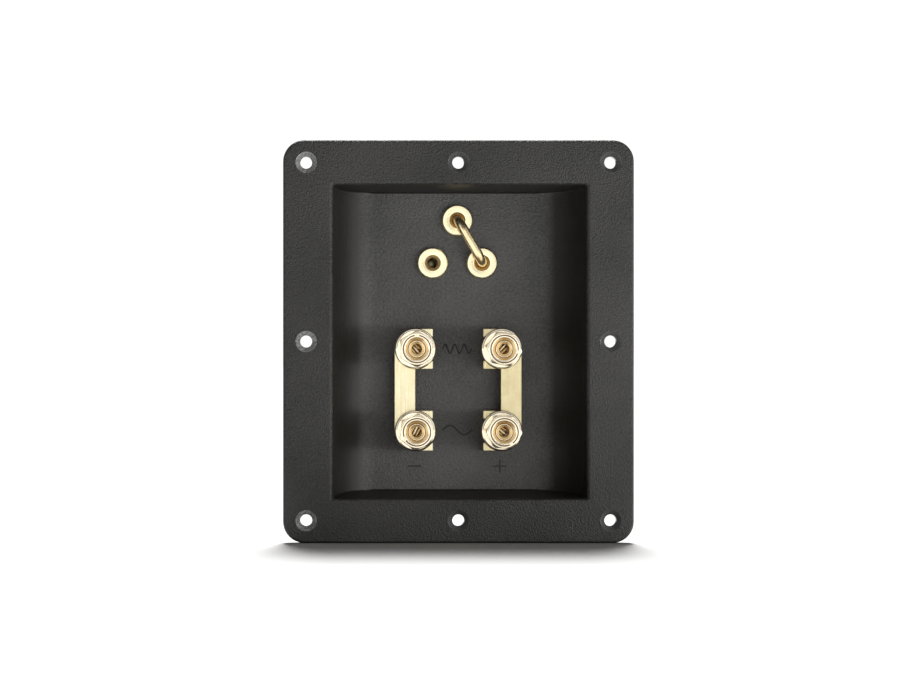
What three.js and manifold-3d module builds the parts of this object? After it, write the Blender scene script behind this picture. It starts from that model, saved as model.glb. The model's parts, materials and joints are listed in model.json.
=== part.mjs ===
// Recessed bi-wire loudspeaker terminal plate.
//
// A moulded plastic plate with a recessed cup. In the cup sit four gold-plated
// binding posts (high band and low band, minus and plus), two C-shaped jumper
// bars that join the bands, and three 4 mm sockets for the level selection,
// two of them bridged by a plug-in link.
//
// Units: millimetres. +X right, +Z up, the front faces -Y.
// Origin: centre of the plate on the rear (mounting) face of its flange.

import * as THREE from 'three';
import { mergeVertices } from 'three/addons/utils/BufferGeometryUtils.js';
import Module from 'manifold-3d';

const wasm = await Module();
wasm.setup();

// ---------------------------------------------------------------- dimensions

// flange
const PLATE_W = 132;
const PLATE_H = 151.6;
const PLATE_T = 5;
const PLATE_CORNER_R = 8;
const PLATE_EDGE_R = 0.9;

// eight countersunk fixing holes: four corners and four side centres
const SCREW_PITCH_X = 114.6;
const SCREW_PITCH_Z = 134.8;
const SCREW_HOLE_D = 4.5;
const SCREW_HEAD_D = 7.8;
const SCREW_CONE_DEPTH = 1.9;

// cup
const CUP_X = 0.5;              // cup centre, right of the plate's centre
const CUP_W = 95.5;             // opening
const CUP_H = 118.1;
const CUP_DEPTH = 25;           // flange front face to cup floor
const CUP_WALL = 3;
const CUP_DRAFT = 1.7;          // each of the top and bottom walls leans in by this
const CUP_SIDE_STRAIGHT = 4;    // depth at which the side walls start to curve
const CUP_SIDE_RUN = 17;        // the curve's width, wall to flat floor
const CUP_LIP = 1.4;            // rounding at the opening's edge
const CUP_ARC_STEPS = 12;

// terminals
const TERM_X = 0.95;            // centre line of posts and sockets
const POST_PITCH_X = 33.0;
const POST_Z_HIGH = -2.8;
const POST_Z_LOW = -34.2;

const STUD_THREAD_D = 7.6;
const STUD_NOSE_D = 6.5;
const STUD_NOSE_L = 3;
const STUD_BORE_D = 4;
const STUD_BORE_L = 13.2;
const STUD_SHOULDER_D = 14;
const STUD_SHOULDER_T = 4;
const STUD_REAR_L = 13;         // thread behind the cup floor
const STUD_NOSE_BELOW_KNOB = 1.2;
const WIRE_HOLE_D = 3;
const STUD_HOLE_D = 8.6;        // hole in the cup floor

const BAR_T = 2;
const BAR_EDGE = 7.9;           // outer edge to post centre
const BAR_REACH = 6.85;         // post centre to fork tips
const BAR_HALF_ARM = 7.7;
const BAR_SLOT_W = 9.2;
const BAR_SPINE_W = 8;

const COLLAR_D = 15.7;
const COLLAR_T = 4;
const COLLAR_BORE_D = 8.4;

const KNOB_AF = 12.4;
const KNOB_L = 12.3;
const KNOB_BORE_D = 8.2;
const KNOB_FACE_D = 12.2;       // where the 30 degree chamfer meets the front face
const KNOB_RING_D = 10.3;       // step ring in the front face

const POST_NUT_AF = 13;
const POST_NUT_T = 4.5;
const NUT_BORE_D = 8.2;

const SOCKET_PITCH = 19;
const SOCKET_ROW_Z = 30.3;      // the lower two; the third stands above them
const SOCKET_RIM_D = 12.1;
const SOCKET_RIM_T = 2;
const SOCKET_BARREL_D = 7.6;
const SOCKET_BORE_D = 4;
const SOCKET_BORE_L = 18.5;
const SOCKET_CONE_D = 6.2;
const SOCKET_CONE_L = 1.1;
const SOCKET_REAR_L = 15;
const SOCKET_NUT_AF = 11;
const SOCKET_NUT_T = 3;

const WASHER_D = 12.4;
const WASHER_T = 1.2;
const WASHER_GAP_DEG = 12;
const LUG_D = 12;
const LUG_T = 0.8;
const LUG_TAIL_W = 5;
const LUG_TAIL_HOLE_D = 2.4;
const POST_LUG_L = 15;          // post axis to the tail's end
const SOCKET_LUG_L = 11.5;

const LINK_ROD_D = 3.6;
const LINK_BEND_R = 5;
const LINK_CREST = 5;           // rod centre line in front of the socket rims
const LINK_PIN_L = 15;          // rod below the socket rims

const MARK_DEPTH = 0.5;
const MARK_STROKE = 0.45;
const MARK_SIZE = 5.1;
const MARK_Z = -48.1;
const WAVE_W = 11;
const WAVE_H = 3.6;

const GAP = 0.15;               // between stacked pieces

// Derived levels along Y
const Y_FRONT = -PLATE_T;
const Y_FLOOR = Y_FRONT + CUP_DEPTH;
const Y_FLOOR_BACK = Y_FLOOR + CUP_WALL;
const Y_SHOULDER = Y_FLOOR - GAP - STUD_SHOULDER_T;
const Y_BAR = Y_SHOULDER - GAP - BAR_T;
const Y_COLLAR = Y_BAR - GAP - COLLAR_T;
const Y_KNOB = Y_COLLAR - GAP - KNOB_L;
const Y_NOSE = Y_KNOB + STUD_NOSE_BELOW_KNOB;
const Y_RIM = Y_FLOOR - GAP - SOCKET_RIM_T;

// ------------------------------------------------------------------ materials

const blackPlastic = () => new THREE.MeshStandardMaterial({ color: '#3f3e3c', roughness: 0.62, metalness: 0 });
const brightGold = () => new THREE.MeshStandardMaterial({ color: '#efd9a0', roughness: 0.2, metalness: 1 });
const deepGold = () => new THREE.MeshStandardMaterial({ color: '#d9b264', roughness: 0.25, metalness: 1 });
const barGold = () => new THREE.MeshStandardMaterial({ color: '#ead9a4', roughness: 0.35, metalness: 1 });
const steel = () => new THREE.MeshStandardMaterial({ color: '#b9bbbd', roughness: 0.35, metalness: 1 });
const tinned = () => new THREE.MeshStandardMaterial({ color: '#cfc9bb', roughness: 0.4, metalness: 1 });

// ------------------------------------------------------------------ helpers

// Indexed, position-only geometry with merged vertices and outward faces.
function weld(geometry) {
  const g = geometry.clone();
  for (const name of Object.keys(g.attributes)) if (name !== 'position') g.deleteAttribute(name);
  const merged = mergeVertices(g, 1e-4);
  const p = merged.attributes.position.array;
  const source = merged.index.array;
  const tris = [];
  let volume = 0;
  for (let i = 0; i < source.length; i += 3) {
    const [a, b, c] = [source[i], source[i + 1], source[i + 2]];
    if (a === b || b === c || c === a) continue;
    tris.push(a, b, c);
    const [ax, ay, az] = [p[3 * a], p[3 * a + 1], p[3 * a + 2]];
    const [bx, by, bz] = [p[3 * b], p[3 * b + 1], p[3 * b + 2]];
    const [cx, cy, cz] = [p[3 * c], p[3 * c + 1], p[3 * c + 2]];
    volume += ax * (by * cz - bz * cy) + ay * (bz * cx - bx * cz) + az * (bx * cy - by * cx);
  }
  if (volume < 0) for (let i = 0; i < tris.length; i += 3) [tris[i], tris[i + 1]] = [tris[i + 1], tris[i]];
  const out = new THREE.BufferGeometry();
  out.setAttribute('position', new THREE.BufferAttribute(new Float32Array(p), 3));
  out.setIndex(tris);
  return out;
}

function toSolid(geometry) {
  const g = weld(geometry);
  return new wasm.Manifold(new wasm.Mesh({
    numProp: 3,
    vertProperties: new Float32Array(g.attributes.position.array),
    triVerts: new Uint32Array(g.index.array),
  }));
}

function toGeometry(solid) {
  const mesh = solid.getMesh();
  const g = new THREE.BufferGeometry();
  g.setAttribute('position', new THREE.BufferAttribute(new Float32Array(mesh.vertProperties), 3));
  g.setIndex(Array.from(mesh.triVerts));
  return weld(g);
}

// Solid of revolution round the Y axis from [radius, y] points.
function turned(points, segments) {
  return new THREE.LatheGeometry(points.map(([r, y]) => new THREE.Vector2(r, y)), segments);
}

// Hexagonal prism along Y, from y0 to y1, with one corner at the given angle
// (degrees, seen from the front, counted from +X towards +Z).
function hexPrism(acrossFlats, y0, y1, cornerDeg) {
  const g = new THREE.CylinderGeometry(acrossFlats / Math.sqrt(3), acrossFlats / Math.sqrt(3), y1 - y0, 6, 1, false,
    THREE.MathUtils.degToRad(90 - cornerDeg));
  g.translate(0, (y0 + y1) / 2, 0);
  return g;
}

function drum(radius, y0, y1, segments) {
  const g = new THREE.CylinderGeometry(radius, radius, y1 - y0, segments);
  g.translate(0, (y0 + y1) / 2, 0);
  return g;
}

// A shape drawn in X and Z (as x and y), given thickness along Y from y0 to y1.
function slab(shape, y0, y1, curveSegments = 6) {
  const g = new THREE.ExtrudeGeometry(shape, { depth: y1 - y0, bevelEnabled: false, curveSegments });
  g.rotateX(Math.PI / 2);           // depth runs to -Y
  g.translate(0, y1, 0);
  return g;
}

function roundedRect(w, h, r) {
  const s = new THREE.Shape();
  s.moveTo(-w / 2 + r, -h / 2);
  s.lineTo(w / 2 - r, -h / 2);
  s.absarc(w / 2 - r, -h / 2 + r, r, -Math.PI / 2, 0, false);
  s.lineTo(w / 2, h / 2 - r);
  s.absarc(w / 2 - r, h / 2 - r, r, 0, Math.PI / 2, false);
  s.lineTo(-w / 2 + r, h / 2);
  s.absarc(-w / 2 + r, h / 2 - r, r, Math.PI / 2, Math.PI, false);
  s.lineTo(-w / 2, -h / 2 + r);
  s.absarc(-w / 2 + r, -h / 2 + r, r, Math.PI, 1.5 * Math.PI, false);
  return s;
}

const group = new THREE.Group();

function add(name, geometry, material, x = 0, z = 0) {
  const mesh = new THREE.Mesh(geometry, material);
  mesh.name = name;
  mesh.position.set(x, 0, z);
  group.add(mesh);
  return mesh;
}

// ------------------------------------------------------------- terminal plate

// Half outline of the cup in the X-Y plane. grow = 0 gives the hollow, a
// positive value the outer skin of the cup.
function cupSection(grow) {
  const half = CUP_W / 2;
  const yStart = Y_FRONT + CUP_SIDE_STRAIGHT;
  const pts = [];
  if (grow === 0) {
    pts.push([half + CUP_LIP, Y_FRONT - 1], [half + CUP_LIP, Y_FRONT], [half + 0.4 * CUP_LIP, Y_FRONT + 0.4 * CUP_LIP * 0.75], [half, Y_FRONT + CUP_LIP]);
  } else {
    pts.push([half + grow, Y_FRONT + 1]);
  }
  for (let i = 0; i <= CUP_ARC_STEPS; i++) {
    const a = (i / CUP_ARC_STEPS) * Math.PI / 2;
    pts.push([
      half - CUP_SIDE_RUN + (CUP_SIDE_RUN + grow) * Math.cos(a),
      yStart + (CUP_DEPTH - CUP_SIDE_STRAIGHT + grow) * Math.sin(a),
    ]);
  }
  return pts;
}

// Prism of the cup's section along Z, cut to length by the sloping end walls.
function cupBody(grow) {
  const right = cupSection(grow);
  const s = new THREE.Shape();
  right.forEach(([x, y], i) => (i ? s.lineTo(x, y) : s.moveTo(x, y)));
  [...right].reverse().forEach(([x, y]) => s.lineTo(-x, y));
  s.closePath();
  const prism = new THREE.ExtrudeGeometry(s, { depth: CUP_H + 40, bevelEnabled: false });
  prism.translate(CUP_X, 0, -(CUP_H + 40) / 2);

  const h = CUP_H / 2 + grow;
  const yEnd = Y_FLOOR + grow + 1;
  const slope = CUP_DRAFT / CUP_DEPTH;
  const e = new THREE.Shape();        // drawn in Y (as x) and Z (as y)
  const low = grow === 0
    ? [[Y_FRONT - 1, h + CUP_LIP], [Y_FRONT, h + CUP_LIP], [Y_FRONT + 0.3 * CUP_LIP, h + 0.4 * CUP_LIP], [Y_FRONT + CUP_LIP, h]]
    : [[Y_FRONT + 1, h]];
  const top = [...low, [yEnd, h - slope * (yEnd - Y_FRONT)]];
  top.forEach(([y, z], i) => (i ? e.lineTo(y, z) : e.moveTo(y, z)));
  [...top].reverse().forEach(([y, z]) => e.lineTo(y, -z));
  e.closePath();
  const wedge = new THREE.ExtrudeGeometry(e, { depth: CUP_W + 40, bevelEnabled: false });
  // x -> Y, y -> Z, depth -> X
  wedge.applyMatrix4(new THREE.Matrix4().set(
    0, 0, 1, -(CUP_W + 40) / 2 + CUP_X,
    1, 0, 0, 0,
    0, 1, 0, 0,
    0, 0, 0, 1));
  return toSolid(prism).intersect(toSolid(wedge));
}

const posts = [
  { tag: 'hf_minus', x: TERM_X - POST_PITCH_X / 2, z: POST_Z_HIGH, corner: 30, wire: -45, lug: 90 },
  { tag: 'hf_plus', x: TERM_X + POST_PITCH_X / 2, z: POST_Z_HIGH, corner: 50, wire: 45, lug: 90 },
  { tag: 'lf_minus', x: TERM_X - POST_PITCH_X / 2, z: POST_Z_LOW, corner: 22, wire: 62, lug: -90 },
  { tag: 'lf_plus', x: TERM_X + POST_PITCH_X / 2, z: POST_Z_LOW, corner: 58, wire: -38, lug: -90 },
];

const sockets = [
  { tag: 'top', x: TERM_X, z: SOCKET_ROW_Z + SOCKET_PITCH * Math.sqrt(3) / 2, lug: 90 },
  { tag: 'left', x: TERM_X - SOCKET_PITCH / 2, z: SOCKET_ROW_Z, lug: 180 },
  { tag: 'right', x: TERM_X + SOCKET_PITCH / 2, z: SOCKET_ROW_Z, lug: 0 },
];

function makePlate() {
  const slabs = [
    slab(roundedRect(PLATE_W, PLATE_H, PLATE_CORNER_R), Y_FRONT + PLATE_EDGE_R, 0),
  ];
  let body = toSolid(slabs[0]);

  // rounded front edge: two thin tapered steps
  const steps = [[0, PLATE_EDGE_R], [0.12 * PLATE_EDGE_R, 0.5 * PLATE_EDGE_R], [0.5 * PLATE_EDGE_R, 0.12 * PLATE_EDGE_R], [PLATE_EDGE_R, 0]];
  for (let k = 0; k + 1 < steps.length; k++) {
    const [in0, y0] = steps[k];
    const [in1, y1] = steps[k + 1];
    const a = roundedRect(PLATE_W - 2 * in0, PLATE_H - 2 * in0, PLATE_CORNER_R - in0).getPoints(6);
    const b = roundedRect(PLATE_W - 2 * in1, PLATE_H - 2 * in1, PLATE_CORNER_R - in1).getPoints(6);
    if (a[0].distanceTo(a[a.length - 1]) < 1e-6) { a.pop(); b.pop(); }
    const n = a.length;
    const v = [];
    const push = (p, y) => v.push(p.x, y, p.y);
    const yA = Y_FRONT + y0 + (k === 0 ? 0.05 : 0);
    const yB = Y_FRONT + y1;
    for (let i = 0; i < n; i++) {
      const j = (i + 1) % n;
      push(a[i], yA); push(a[j], yA); push(b[j], yB);
      push(a[i], yA); push(b[j], yB); push(b[i], yB);
    }
    for (let i = 1; i + 1 < n; i++) {
      push(a[0], yA); push(a[i + 1], yA); push(a[i], yA);
      push(b[0], yB); push(b[i], yB); push(b[i + 1], yB);
    }
    const g = new THREE.BufferGeometry();
    g.setAttribute('position', new THREE.Float32BufferAttribute(v, 3));
    body = body.add(toSolid(g));
  }

  body = body.add(cupBody(CUP_WALL)).subtract(cupBody(0));

  // countersunk fixing holes
  const xs = SCREW_PITCH_X / 2;
  const zs = SCREW_PITCH_Z / 2;
  for (const [x, z] of [[-xs, zs], [0, zs], [xs, zs], [-xs, 0], [xs, 0], [-xs, -zs], [0, -zs], [xs, -zs]]) {
    const cut = turned([
      [0, Y_FRONT - 1], [SCREW_HEAD_D / 2, Y_FRONT - 1], [SCREW_HEAD_D / 2, Y_FRONT + 0.15],
      [SCREW_HOLE_D / 2, Y_FRONT + 0.15 + SCREW_CONE_DEPTH], [SCREW_HOLE_D / 2, 1], [0, 1],
    ], 20);
    cut.translate(x, 0, z);
    body = body.subtract(toSolid(cut));
  }

  // holes in the floor for posts and sockets
  for (const { x, z } of [...posts, ...sockets]) {
    const cut = drum(STUD_HOLE_D / 2, Y_FLOOR - 2, Y_FLOOR_BACK + 2, 20);
    cut.translate(x, 0, z);
    body = body.subtract(toSolid(cut));
  }

  // sunk marks on the cup floor: minus, plus, and one wave sign for each band
  const bar = (x, z, w, h) => {
    const g = new THREE.BoxGeometry(w, MARK_DEPTH * 2, h);
    g.translate(x, Y_FLOOR, z);
    return toSolid(g);
  };
  const leftX = TERM_X - POST_PITCH_X / 2;
  const rightX = TERM_X + POST_PITCH_X / 2;
  body = body.subtract(bar(leftX, MARK_Z, MARK_SIZE, MARK_STROKE));
  body = body.subtract(bar(rightX, MARK_Z, MARK_SIZE, MARK_STROKE).add(bar(rightX, MARK_Z, MARK_STROKE, MARK_SIZE)));
  for (const [z, cycles] of [[POST_Z_HIGH, 3], [POST_Z_LOW, 1]]) {
    const n = cycles * 8;
    const upper = [];
    const lower = [];
    for (let i = 0; i <= n; i++) {
      const t = i / n;
      const x = (t - 0.5) * WAVE_W;
      const y = Math.sin(t * cycles * 2 * Math.PI) * WAVE_H / 2;
      const slope = Math.cos(t * cycles * 2 * Math.PI) * cycles * 2 * Math.PI * WAVE_H / 2 / WAVE_W;
      const l = Math.hypot(1, slope);
      upper.push([x - slope / l * MARK_STROKE / 2, y + MARK_STROKE / 2 / l]);
      lower.push([x + slope / l * MARK_STROKE / 2, y - MARK_STROKE / 2 / l]);
    }
    const s = new THREE.Shape();
    [...upper, ...lower.reverse()].forEach(([x, y], i) => (i ? s.lineTo(x, y) : s.moveTo(x, y)));
    s.closePath();
    const g = slab(s, Y_FLOOR - MARK_DEPTH, Y_FLOOR + MARK_DEPTH);
    g.translate(TERM_X, 0, z);
    body = body.subtract(toSolid(g));
  }
  return toGeometry(body);
}

add('terminal_plate', makePlate(), blackPlastic());

// -------------------------------------------------------------- binding posts

function makeStud(wireDeg) {
  const r = STUD_THREAD_D / 2;
  const rn = STUD_NOSE_D / 2;
  const rb = STUD_BORE_D / 2;
  const end = Y_FLOOR_BACK + STUD_REAR_L;
  const bottom = Y_NOSE + STUD_BORE_L;
  let stud = toSolid(turned([
    [0, bottom + 1], [rb, bottom], [rb, Y_NOSE + 0.4], [rb + 0.3, Y_NOSE],
    [rn - 0.2, Y_NOSE], [rn, Y_NOSE + 0.2], [rn, Y_NOSE + STUD_NOSE_L], [r, Y_NOSE + STUD_NOSE_L + 0.6],
    [r, Y_SHOULDER], [STUD_SHOULDER_D / 2, Y_SHOULDER], [STUD_SHOULDER_D / 2, Y_SHOULDER + STUD_SHOULDER_T],
    [r, Y_SHOULDER + STUD_SHOULDER_T], [r, end - 0.6], [r - 0.6, end], [0, end],
  ], 16));
  const hole = drum(WIRE_HOLE_D / 2, -6, 6, 10);
  hole.rotateZ(Math.PI / 2);
  hole.rotateY(-THREE.MathUtils.degToRad(wireDeg));
  hole.translate(0, Y_SHOULDER - BAR_T - WIRE_HOLE_D / 2 - 0.6, 0);
  stud = stud.subtract(toSolid(hole));
  return toGeometry(stud);
}

function makeCollar() {
  const [ri, ro] = [COLLAR_BORE_D / 2, COLLAR_D / 2];
  const [y0, y1] = [Y_COLLAR, Y_COLLAR + COLLAR_T];
  return weld(turned([
    [ri, y0], [ro - 0.4, y0], [ro, y0 + 0.4], [ro, y1 - 0.4], [ro - 0.4, y1], [ri, y1], [ri, y0],
  ], 20));
}

function makeKnob(cornerDeg) {
  const y1 = Y_KNOB + KNOB_L;
  const rc = KNOB_AF / Math.sqrt(3);
  const rf = KNOB_FACE_D / 2;
  const cone = (rc - rf) * Math.tan(Math.PI / 6) * 1.6;
  const hex = toSolid(hexPrism(KNOB_AF, Y_KNOB, y1, cornerDeg));
  const trim = toSolid(turned([
    [0, Y_KNOB - 0.5], [rf - 0.02, Y_KNOB - 0.5], [rf, Y_KNOB], [rc + 0.05, Y_KNOB + cone],
    [rc + 0.05, y1 - 0.3], [rc - 0.4, y1 + 0.2], [0, y1 + 0.2],
  ], 24));
  const ring = toSolid(turned([
    [KNOB_RING_D / 2 - 0.12, Y_KNOB - 0.5], [KNOB_RING_D / 2 + 0.12, Y_KNOB - 0.5],
    [KNOB_RING_D / 2 + 0.12, Y_KNOB + 0.3], [KNOB_RING_D / 2 - 0.12, Y_KNOB + 0.3], [KNOB_RING_D / 2 - 0.12, Y_KNOB - 0.5],
  ], 20));
  const bore = toSolid(turned([
    [0, Y_KNOB - 1], [KNOB_BORE_D / 2 + 0.4, Y_KNOB - 1], [KNOB_BORE_D / 2 + 0.4, Y_KNOB], [KNOB_BORE_D / 2, Y_KNOB + 0.5],
    [KNOB_BORE_D / 2, y1 + 1], [0, y1 + 1],
  ], 20));
  return toGeometry(hex.intersect(trim).subtract(bore).subtract(ring));
}

function makeNut(acrossFlats, thickness, cornerDeg) {
  const y0 = Y_FLOOR_BACK + LUG_T + WASHER_T + 3 * GAP;
  const hex = toSolid(hexPrism(acrossFlats, y0, y0 + thickness, cornerDeg));
  return toGeometry(hex.subtract(toSolid(drum(NUT_BORE_D / 2, y0 - 1, y0 + thickness + 1, 20))));
}

// Split spring washer.
function makeWasher(gapAt) {
  const [ri, ro] = [NUT_BORE_D / 2, WASHER_D / 2];
  const a0 = THREE.MathUtils.degToRad(gapAt + WASHER_GAP_DEG / 2);
  const a1 = THREE.MathUtils.degToRad(gapAt - WASHER_GAP_DEG / 2 + 360);
  const n = 18;
  const s = new THREE.Shape();
  for (let i = 0; i <= n; i++) {
    const a = a0 + (a1 - a0) * i / n;
    if (i) s.lineTo(ro * Math.cos(a), ro * Math.sin(a)); else s.moveTo(ro * Math.cos(a), ro * Math.sin(a));
  }
  for (let i = n; i >= 0; i--) {
    const a = a0 + (a1 - a0) * i / n;
    s.lineTo(ri * Math.cos(a), ri * Math.sin(a));
  }
  s.closePath();
  const y0 = Y_FLOOR_BACK + LUG_T + 2 * GAP;
  return weld(slab(s, y0, y0 + WASHER_T));
}

// Ring lug with a flat tail and a wire hole.
function makeLug(length, tailDeg) {
  const ro = LUG_D / 2;
  const w = LUG_TAIL_W / 2;
  const a = Math.asin(w / ro);
  const s = new THREE.Shape();
  s.moveTo(ro * Math.cos(a), -w);
  s.lineTo(length - w, -w);
  s.absarc(length - w, 0, w, -Math.PI / 2, Math.PI / 2, false);
  s.lineTo(ro * Math.cos(a), w);
  s.absarc(0, 0, ro, a, 2 * Math.PI - a, false);
  const bore = new THREE.Path();
  bore.absarc(0, 0, NUT_BORE_D / 2, 0, 2 * Math.PI, true);
  const eye = new THREE.Path();
  eye.absarc(length - w, 0, LUG_TAIL_HOLE_D / 2, 0, 2 * Math.PI, true);
  s.holes.push(bore, eye);
  const y0 = Y_FLOOR_BACK + GAP;
  const g = slab(s, y0, y0 + LUG_T, 5);
  g.rotateY(-THREE.MathUtils.degToRad(tailDeg));
  return weld(g);
}

for (const { tag, x, z, corner, wire, lug } of posts) {
  add(`post_stud_${tag}`, makeStud(wire), deepGold(), x, z);
  add(`clamp_collar_${tag}`, makeCollar(), brightGold(), x, z);
  add(`knob_${tag}`, makeKnob(corner), brightGold(), x, z);
  add(`post_solder_lug_${tag}`, makeLug(POST_LUG_L, lug), tinned(), x, z);
  add(`post_lock_washer_${tag}`, makeWasher(corner + 100), steel(), x, z);
  add(`post_nut_${tag}`, makeNut(POST_NUT_AF, POST_NUT_T, corner + 11), deepGold(), x, z);
}

// ---------------------------------------------------------------- jumper bars

// C-shaped flat bar: a spine with two forks. side = -1 lies left of its posts
// with the forks open to the right, side = +1 is its mirror image.
function makeBar(side) {
  const s = new THREE.Shape();
  const at = (x, z) => [-side * x, z];
  const pts = [];
  const arc = (cx, cz, rx, rz, a0, a1, n) => {
    for (let i = 0; i <= n; i++) {
      const a = THREE.MathUtils.degToRad(a0 + (a1 - a0) * i / n);
      pts.push(at(cx + rx * Math.cos(a), cz + rz * Math.sin(a)));
    }
  };
  const slot = BAR_SLOT_W / 2;
  const inner = -BAR_EDGE + BAR_SPINE_W;
  // drawn with the spine at negative x and the forks open towards positive x
  for (const [z, sign] of [[POST_Z_LOW, -1], [POST_Z_HIGH, 1]]) {
    if (sign < 0) {
      arc(0, z, BAR_EDGE, BAR_HALF_ARM, 180, 270, 6);
      pts.push(at(BAR_REACH, z - BAR_HALF_ARM), at(BAR_REACH, z - slot));
      arc(0, z, slot, slot, 270, 90, 10);
      pts.push(at(BAR_REACH, z + slot), at(BAR_REACH, z + BAR_HALF_ARM), at(inner, z + BAR_HALF_ARM));
    } else {
      pts.push(at(inner, z - BAR_HALF_ARM), at(BAR_REACH, z - BAR_HALF_ARM), at(BAR_REACH, z - slot));
      arc(0, z, slot, slot, 270, 90, 10);
      pts.push(at(BAR_REACH, z + slot), at(BAR_REACH, z + BAR_HALF_ARM));
      arc(0, z, BAR_EDGE, BAR_HALF_ARM, 90, 180, 6);
    }
  }
  pts.forEach(([x, z], i) => (i ? s.lineTo(x, z) : s.moveTo(x, z)));
  s.closePath();
  return weld(slab(s, Y_BAR, Y_BAR + BAR_T));
}

add('jumper_bar_minus', makeBar(-1), barGold(), TERM_X - POST_PITCH_X / 2, 0);
add('jumper_bar_plus', makeBar(1), barGold(), TERM_X + POST_PITCH_X / 2, 0);

// -------------------------------------------------------------- level sockets

function makeSocket() {
  const rb = SOCKET_BORE_D / 2;
  const r = SOCKET_BARREL_D / 2;
  const ro = SOCKET_RIM_D / 2;
  const end = Y_FLOOR_BACK + SOCKET_REAR_L;
  return weld(turned([
    [0, Y_RIM + SOCKET_BORE_L + 1], [rb, Y_RIM + SOCKET_BORE_L], [rb, Y_RIM + SOCKET_CONE_L], [SOCKET_CONE_D / 2, Y_RIM],
    [ro - 0.25, Y_RIM], [ro, Y_RIM + 0.25], [ro, Y_RIM + SOCKET_RIM_T], [r, Y_RIM + SOCKET_RIM_T],
    [r, end - 0.6], [r - 0.6, end], [0, end],
  ], 20));
}

for (const { tag, x, z, lug } of sockets) {
  add(`socket_${tag}`, makeSocket(), deepGold(), x, z);
  add(`socket_solder_tag_${tag}`, makeLug(SOCKET_LUG_L, lug), tinned(), x, z);
  add(`socket_lock_washer_${tag}`, makeWasher(lug + 140), steel(), x, z);
  add(`socket_nut_${tag}`, makeNut(SOCKET_NUT_AF, SOCKET_NUT_T, lug + 17), deepGold(), x, z);
}

// ----------------------------------------------------------------- level link

// Bent rod: two pins and a low bridge. The path is drawn with x along the
// bridge and y along the pins, and turned to join the top and right sockets.
class LinkPath extends THREE.Curve {
  constructor() {
    super();
    const R = LINK_BEND_R;
    const half = SOCKET_PITCH / 2;
    this.leg = LINK_PIN_L + LINK_CREST - R;
    this.arc = R * Math.PI / 2;
    this.top = 2 * (half - R);
    this.total = 2 * this.leg + 2 * this.arc + this.top;
    this.half = half;
  }

  getPoint(t, target = new THREE.Vector3()) {
    const R = LINK_BEND_R;
    const crest = Y_RIM - LINK_CREST;
    let s = t * this.total;
    const mirrored = s > this.total / 2;
    if (mirrored) s = this.total - s;
    let u;
    let y;
    if (s < this.leg) {
      u = -this.half;
      y = Y_RIM + LINK_PIN_L - s;
    } else if (s < this.leg + this.arc) {
      const a = (s - this.leg) / R;
      u = -this.half + R * (1 - Math.cos(a));
      y = crest + R - R * Math.sin(a);
    } else {
      u = -this.half + R + (s - this.leg - this.arc);
      y = crest;
    }
    if (mirrored) u = -u;
    const a = THREE.MathUtils.degToRad(-60);
    return target.set(u * Math.cos(a), y, u * Math.sin(a));
  }

  // Place each ring where the rod bends, and only the ends on the straights.
  getUtoTmapping(u) {
    const L = this.total;
    const stops = [0, this.leg / L];
    const n = 6;
    for (let i = 1; i <= n; i++) stops.push((this.leg + this.arc * i / n) / L);
    stops.push(0.5);
    const all = [...stops, ...stops.slice(0, -1).reverse().map((v) => 1 - v)];
    const k = u * (all.length - 1);
    const i = Math.min(Math.floor(k + 1e-9), all.length - 2);
    return all[i] + (all[i + 1] - all[i]) * (k - i);
  }
}

const rod = new THREE.Shape();
rod.absarc(0, 0, LINK_ROD_D / 2, 0, 2 * Math.PI, false);
const linkGeometry = new THREE.ExtrudeGeometry(rod, {
  steps: 16, curveSegments: 12, bevelEnabled: false, extrudePath: new LinkPath(),
});
add('level_link', weld(linkGeometry), brightGold(),
  (sockets[0].x + sockets[2].x) / 2, (sockets[0].z + sockets[2].z) / 2);

export default group;
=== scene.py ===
import json
import math

import bmesh
import bpy
import numpy as np
from mathutils import Matrix, Vector

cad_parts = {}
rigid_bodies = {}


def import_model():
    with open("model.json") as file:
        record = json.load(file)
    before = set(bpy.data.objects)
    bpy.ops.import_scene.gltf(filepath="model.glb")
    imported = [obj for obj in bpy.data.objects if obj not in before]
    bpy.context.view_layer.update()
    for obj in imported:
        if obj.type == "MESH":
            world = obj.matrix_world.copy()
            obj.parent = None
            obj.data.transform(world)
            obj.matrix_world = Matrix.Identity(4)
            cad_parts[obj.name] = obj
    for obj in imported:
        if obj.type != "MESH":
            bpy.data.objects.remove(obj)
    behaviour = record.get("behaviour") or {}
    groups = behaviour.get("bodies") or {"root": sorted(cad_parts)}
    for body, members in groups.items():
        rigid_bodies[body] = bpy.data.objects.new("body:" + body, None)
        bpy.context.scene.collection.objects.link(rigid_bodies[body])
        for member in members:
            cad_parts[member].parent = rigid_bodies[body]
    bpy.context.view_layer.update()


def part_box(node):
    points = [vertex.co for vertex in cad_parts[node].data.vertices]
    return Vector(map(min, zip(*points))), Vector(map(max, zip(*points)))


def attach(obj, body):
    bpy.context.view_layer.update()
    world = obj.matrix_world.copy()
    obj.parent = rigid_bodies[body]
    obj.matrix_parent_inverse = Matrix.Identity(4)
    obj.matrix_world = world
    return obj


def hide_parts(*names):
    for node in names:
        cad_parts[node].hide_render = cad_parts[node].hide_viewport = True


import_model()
scene = bpy.context.scene
MM = 0.001

# ------------------------------------------------------------------ the frame

TAGS = ("hf_minus", "hf_plus", "lf_minus", "lf_plus")
SOCKETS = ("top", "left", "right")


def centre_xz(node):
    lo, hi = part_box(node)
    return (lo.x + hi.x) / 2, (lo.z + hi.z) / 2


POST = {t: centre_xz("clamp_collar_" + t) for t in TAGS}
SOCK = {t: centre_xz("socket_" + t) for t in SOCKETS}
PLATE_LO, PLATE_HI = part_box("terminal_plate")
TERM_X = (POST["hf_minus"][0] + POST["hf_plus"][0]) / 2 / MM

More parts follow.
